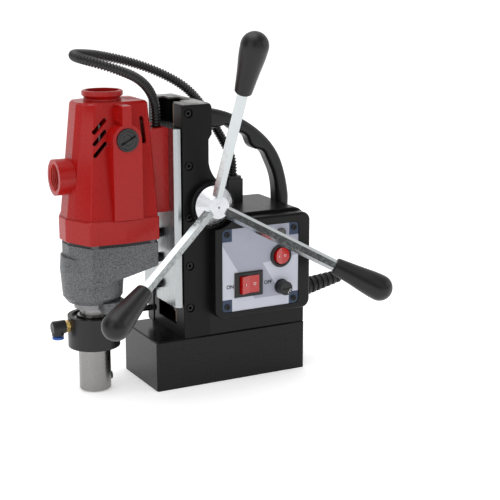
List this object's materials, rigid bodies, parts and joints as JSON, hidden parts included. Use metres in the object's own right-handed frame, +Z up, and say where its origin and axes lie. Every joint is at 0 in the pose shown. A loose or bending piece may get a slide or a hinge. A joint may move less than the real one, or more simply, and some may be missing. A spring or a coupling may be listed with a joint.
{
  "type": "magnetic drill press",
  "caption": "Portable magnetic-base drilling machine: electromagnet foot, dovetail column with rack feed, and a vertical geared motor head that slides up and down.",
  "frame": {"origin": "centre of the electromagnet's pole face, the underside that rests on the work", "axes": "+Z up; -X towards the drill head, +X towards the mains cable boot; -Y towards the operator, the feed handles and the switch panel"},
  "size_m": [0.3136, 0.1881, 0.3536],
  "materials": {
    "magnet_black": "satin enamel",
    "coil_varnish": "varnished winding",
    "potting": "cast resin",
    "casting_black": "satin enamel on a casting",
    "ground_steel": "ground and lightly brushed",
    "dark_screw": "black oxide",
    "bronze": "turned",
    "hub_aluminium": "fine turned",
    "zinc_rod": "bright zinc plate",
    "grip_black": "moulded, faintly glossy",
    "box_black": "satin enamel",
    "board": "circuit board",
    "label": "printed panel, lavender grey",
    "bright_screw": "zinc plated",
    "black_plastic": "moulded",
    "red_plastic": "moulded, translucent",
    "lamp": "moulded lens",
    "handle_black": "moulded, satin",
    "rubber_black": "moulded",
    "motor_red": "moulded, satin",
    "laminations": "laminated steel with varnished coils",
    "carbon": "carbon",
    "bearing_steel": "polished",
    "gear_steel": "hobbed",
    "case_grey": "hammered grey enamel",
    "case_plate": "die cast",
    "arbor_steel": "turned and ground",
    "collar_black": "black anodised",
    "spring_steel": "bright spring steel",
    "brass": "turned brass",
    "blue_plastic": "moulded",
    "conduit_black": "corrugated nylon tube"
  },
  "bodies": {
    "stand": {"magnet_body": "magnet_black", "magnet_coil": "coil_varnish", "magnet_seal": "potting", "base_bolts": "dark_screw", "column": "casting_black", "gib_strip": "bronze", "gib_screws": "dark_screw", "feed_bushes": "bronze", "control_box": "box_black", "circuit_board": "board", "panel_plate": "label", "panel_screws": "bright_screw", "main_frame": "black_plastic", "round_frame": "black_plastic", "fuse_holder": "black_plastic", "indicator_lamp": "lamp", "carry_handle": "handle_black", "handle_screws": "dark_screw", "conduit_gland": "black_plastic", "cable_boot": "rubber_black", "conduit": "conduit_black"},
    "carriage": {"slide": "ground_steel", "rack": "gear_steel", "rack_screws": "dark_screw", "mount_bolts": "dark_screw", "motor_housing": "motor_red", "fan_baffle": "black_plastic", "stator": "laminations", "brush_caps": "black_plastic", "brushes": "carbon", "brush_holders": "brass", "motor_bearings": "bearing_steel", "gear_plate": "case_plate", "gear_housing": "case_grey", "housing_screws": "dark_screw", "spindle_bearings": "bearing_steel", "idler_bearings": "bearing_steel", "coolant_collar": "collar_black", "collar_seals": "rubber_black", "collar_snap_ring": "spring_steel", "hose_nipple": "brass", "collar_stay": "dark_screw", "stay_bracket": "dark_screw", "bracket_screw": "dark_screw"},
    "capstan": {"feed_shaft": "gear_steel", "feed_hub": "hub_aluminium", "feed_rods": "zinc_rod", "feed_grips": "grip_black"},
    "armature": {"armature_core": "laminations", "armature_shaft": "gear_steel", "fan": "black_plastic"},
    "idler": {"idler_gear": "gear_steel"},
    "spindle": {"spindle_gear": "gear_steel", "arbor": "arbor_steel", "arbor_screws": "dark_screw"},
    "main_switch": {"main_rocker": "red_plastic"},
    "round_switch": {"round_rocker": "red_plastic"},
    "fuse": {"fuse_cap": "black_plastic"},
    "elbow": {"hose_elbow": "black_plastic"},
    "release": {"release_ring": "blue_plastic"}
  },
  "joints": [
    {"name": "feed_slide", "type": "slide", "parent": "stand", "child": "carriage", "axis": [0, 0, 1], "range_m": [0, 0.09896], "deforming": ["conduit"]},
    {"name": "capstan_turn", "type": "hinge", "parent": "stand", "child": "capstan", "pos_m": [-0.0235, 0, 0.182], "axis": [0, 1, 0], "range_deg": [0, 540.5]},
    {"name": "armature_spin", "type": "hinge", "parent": "carriage", "child": "armature", "pos_m": [-0.1094, 0, 0.2], "axis": [0, 0, 1], "continuous": true},
    {"name": "idler_spin", "type": "hinge", "parent": "carriage", "child": "idler", "pos_m": [-0.1135, 0.01876, 0.12], "axis": [0, 0, 1], "continuous": true},
    {"name": "spindle_spin", "type": "hinge", "parent": "carriage", "child": "spindle", "pos_m": [-0.1315, 0, 0.06], "axis": [0, 0, 1], "continuous": true},
    {"name": "main_rocker_tilt", "type": "hinge", "parent": "stand", "child": "main_switch", "pos_m": [0.0118, -0.0507, 0.1007], "axis": [0, 0, 1], "range_deg": [-18, 0]},
    {"name": "round_rocker_tilt", "type": "hinge", "parent": "stand", "child": "round_switch", "pos_m": [0.048, -0.0507, 0.1253], "axis": [0, 0, 1], "range_deg": [-18, 0]},
    {"name": "fuse_cap_turn", "type": "hinge", "parent": "stand", "child": "fuse", "pos_m": [0.0489, -0.0522, 0.0936], "axis": [0, -1, 0], "range_deg": [-90, 0]},
    {"name": "elbow_swivel", "type": "hinge", "parent": "carriage", "child": "elbow", "pos_m": [-0.1568, 0, 0.0675], "axis": [1, 0, 0], "range_deg": [-90, 90]},
    {"name": "release_press", "type": "slide", "parent": "elbow", "child": "release", "axis": [0, 0, 1], "range_m": [0, 0.0015], "stiffness_N_per_m": 400}
  ],
  "couplings": [
    {"joint": "capstan_turn", "follows": "feed_slide", "rad_per_m": 95.238},
    {"joint": "idler_spin", "follows": "armature_spin", "ratio": -0.33333},
    {"joint": "spindle_spin", "follows": "armature_spin", "ratio": 0.1}
  ]
}
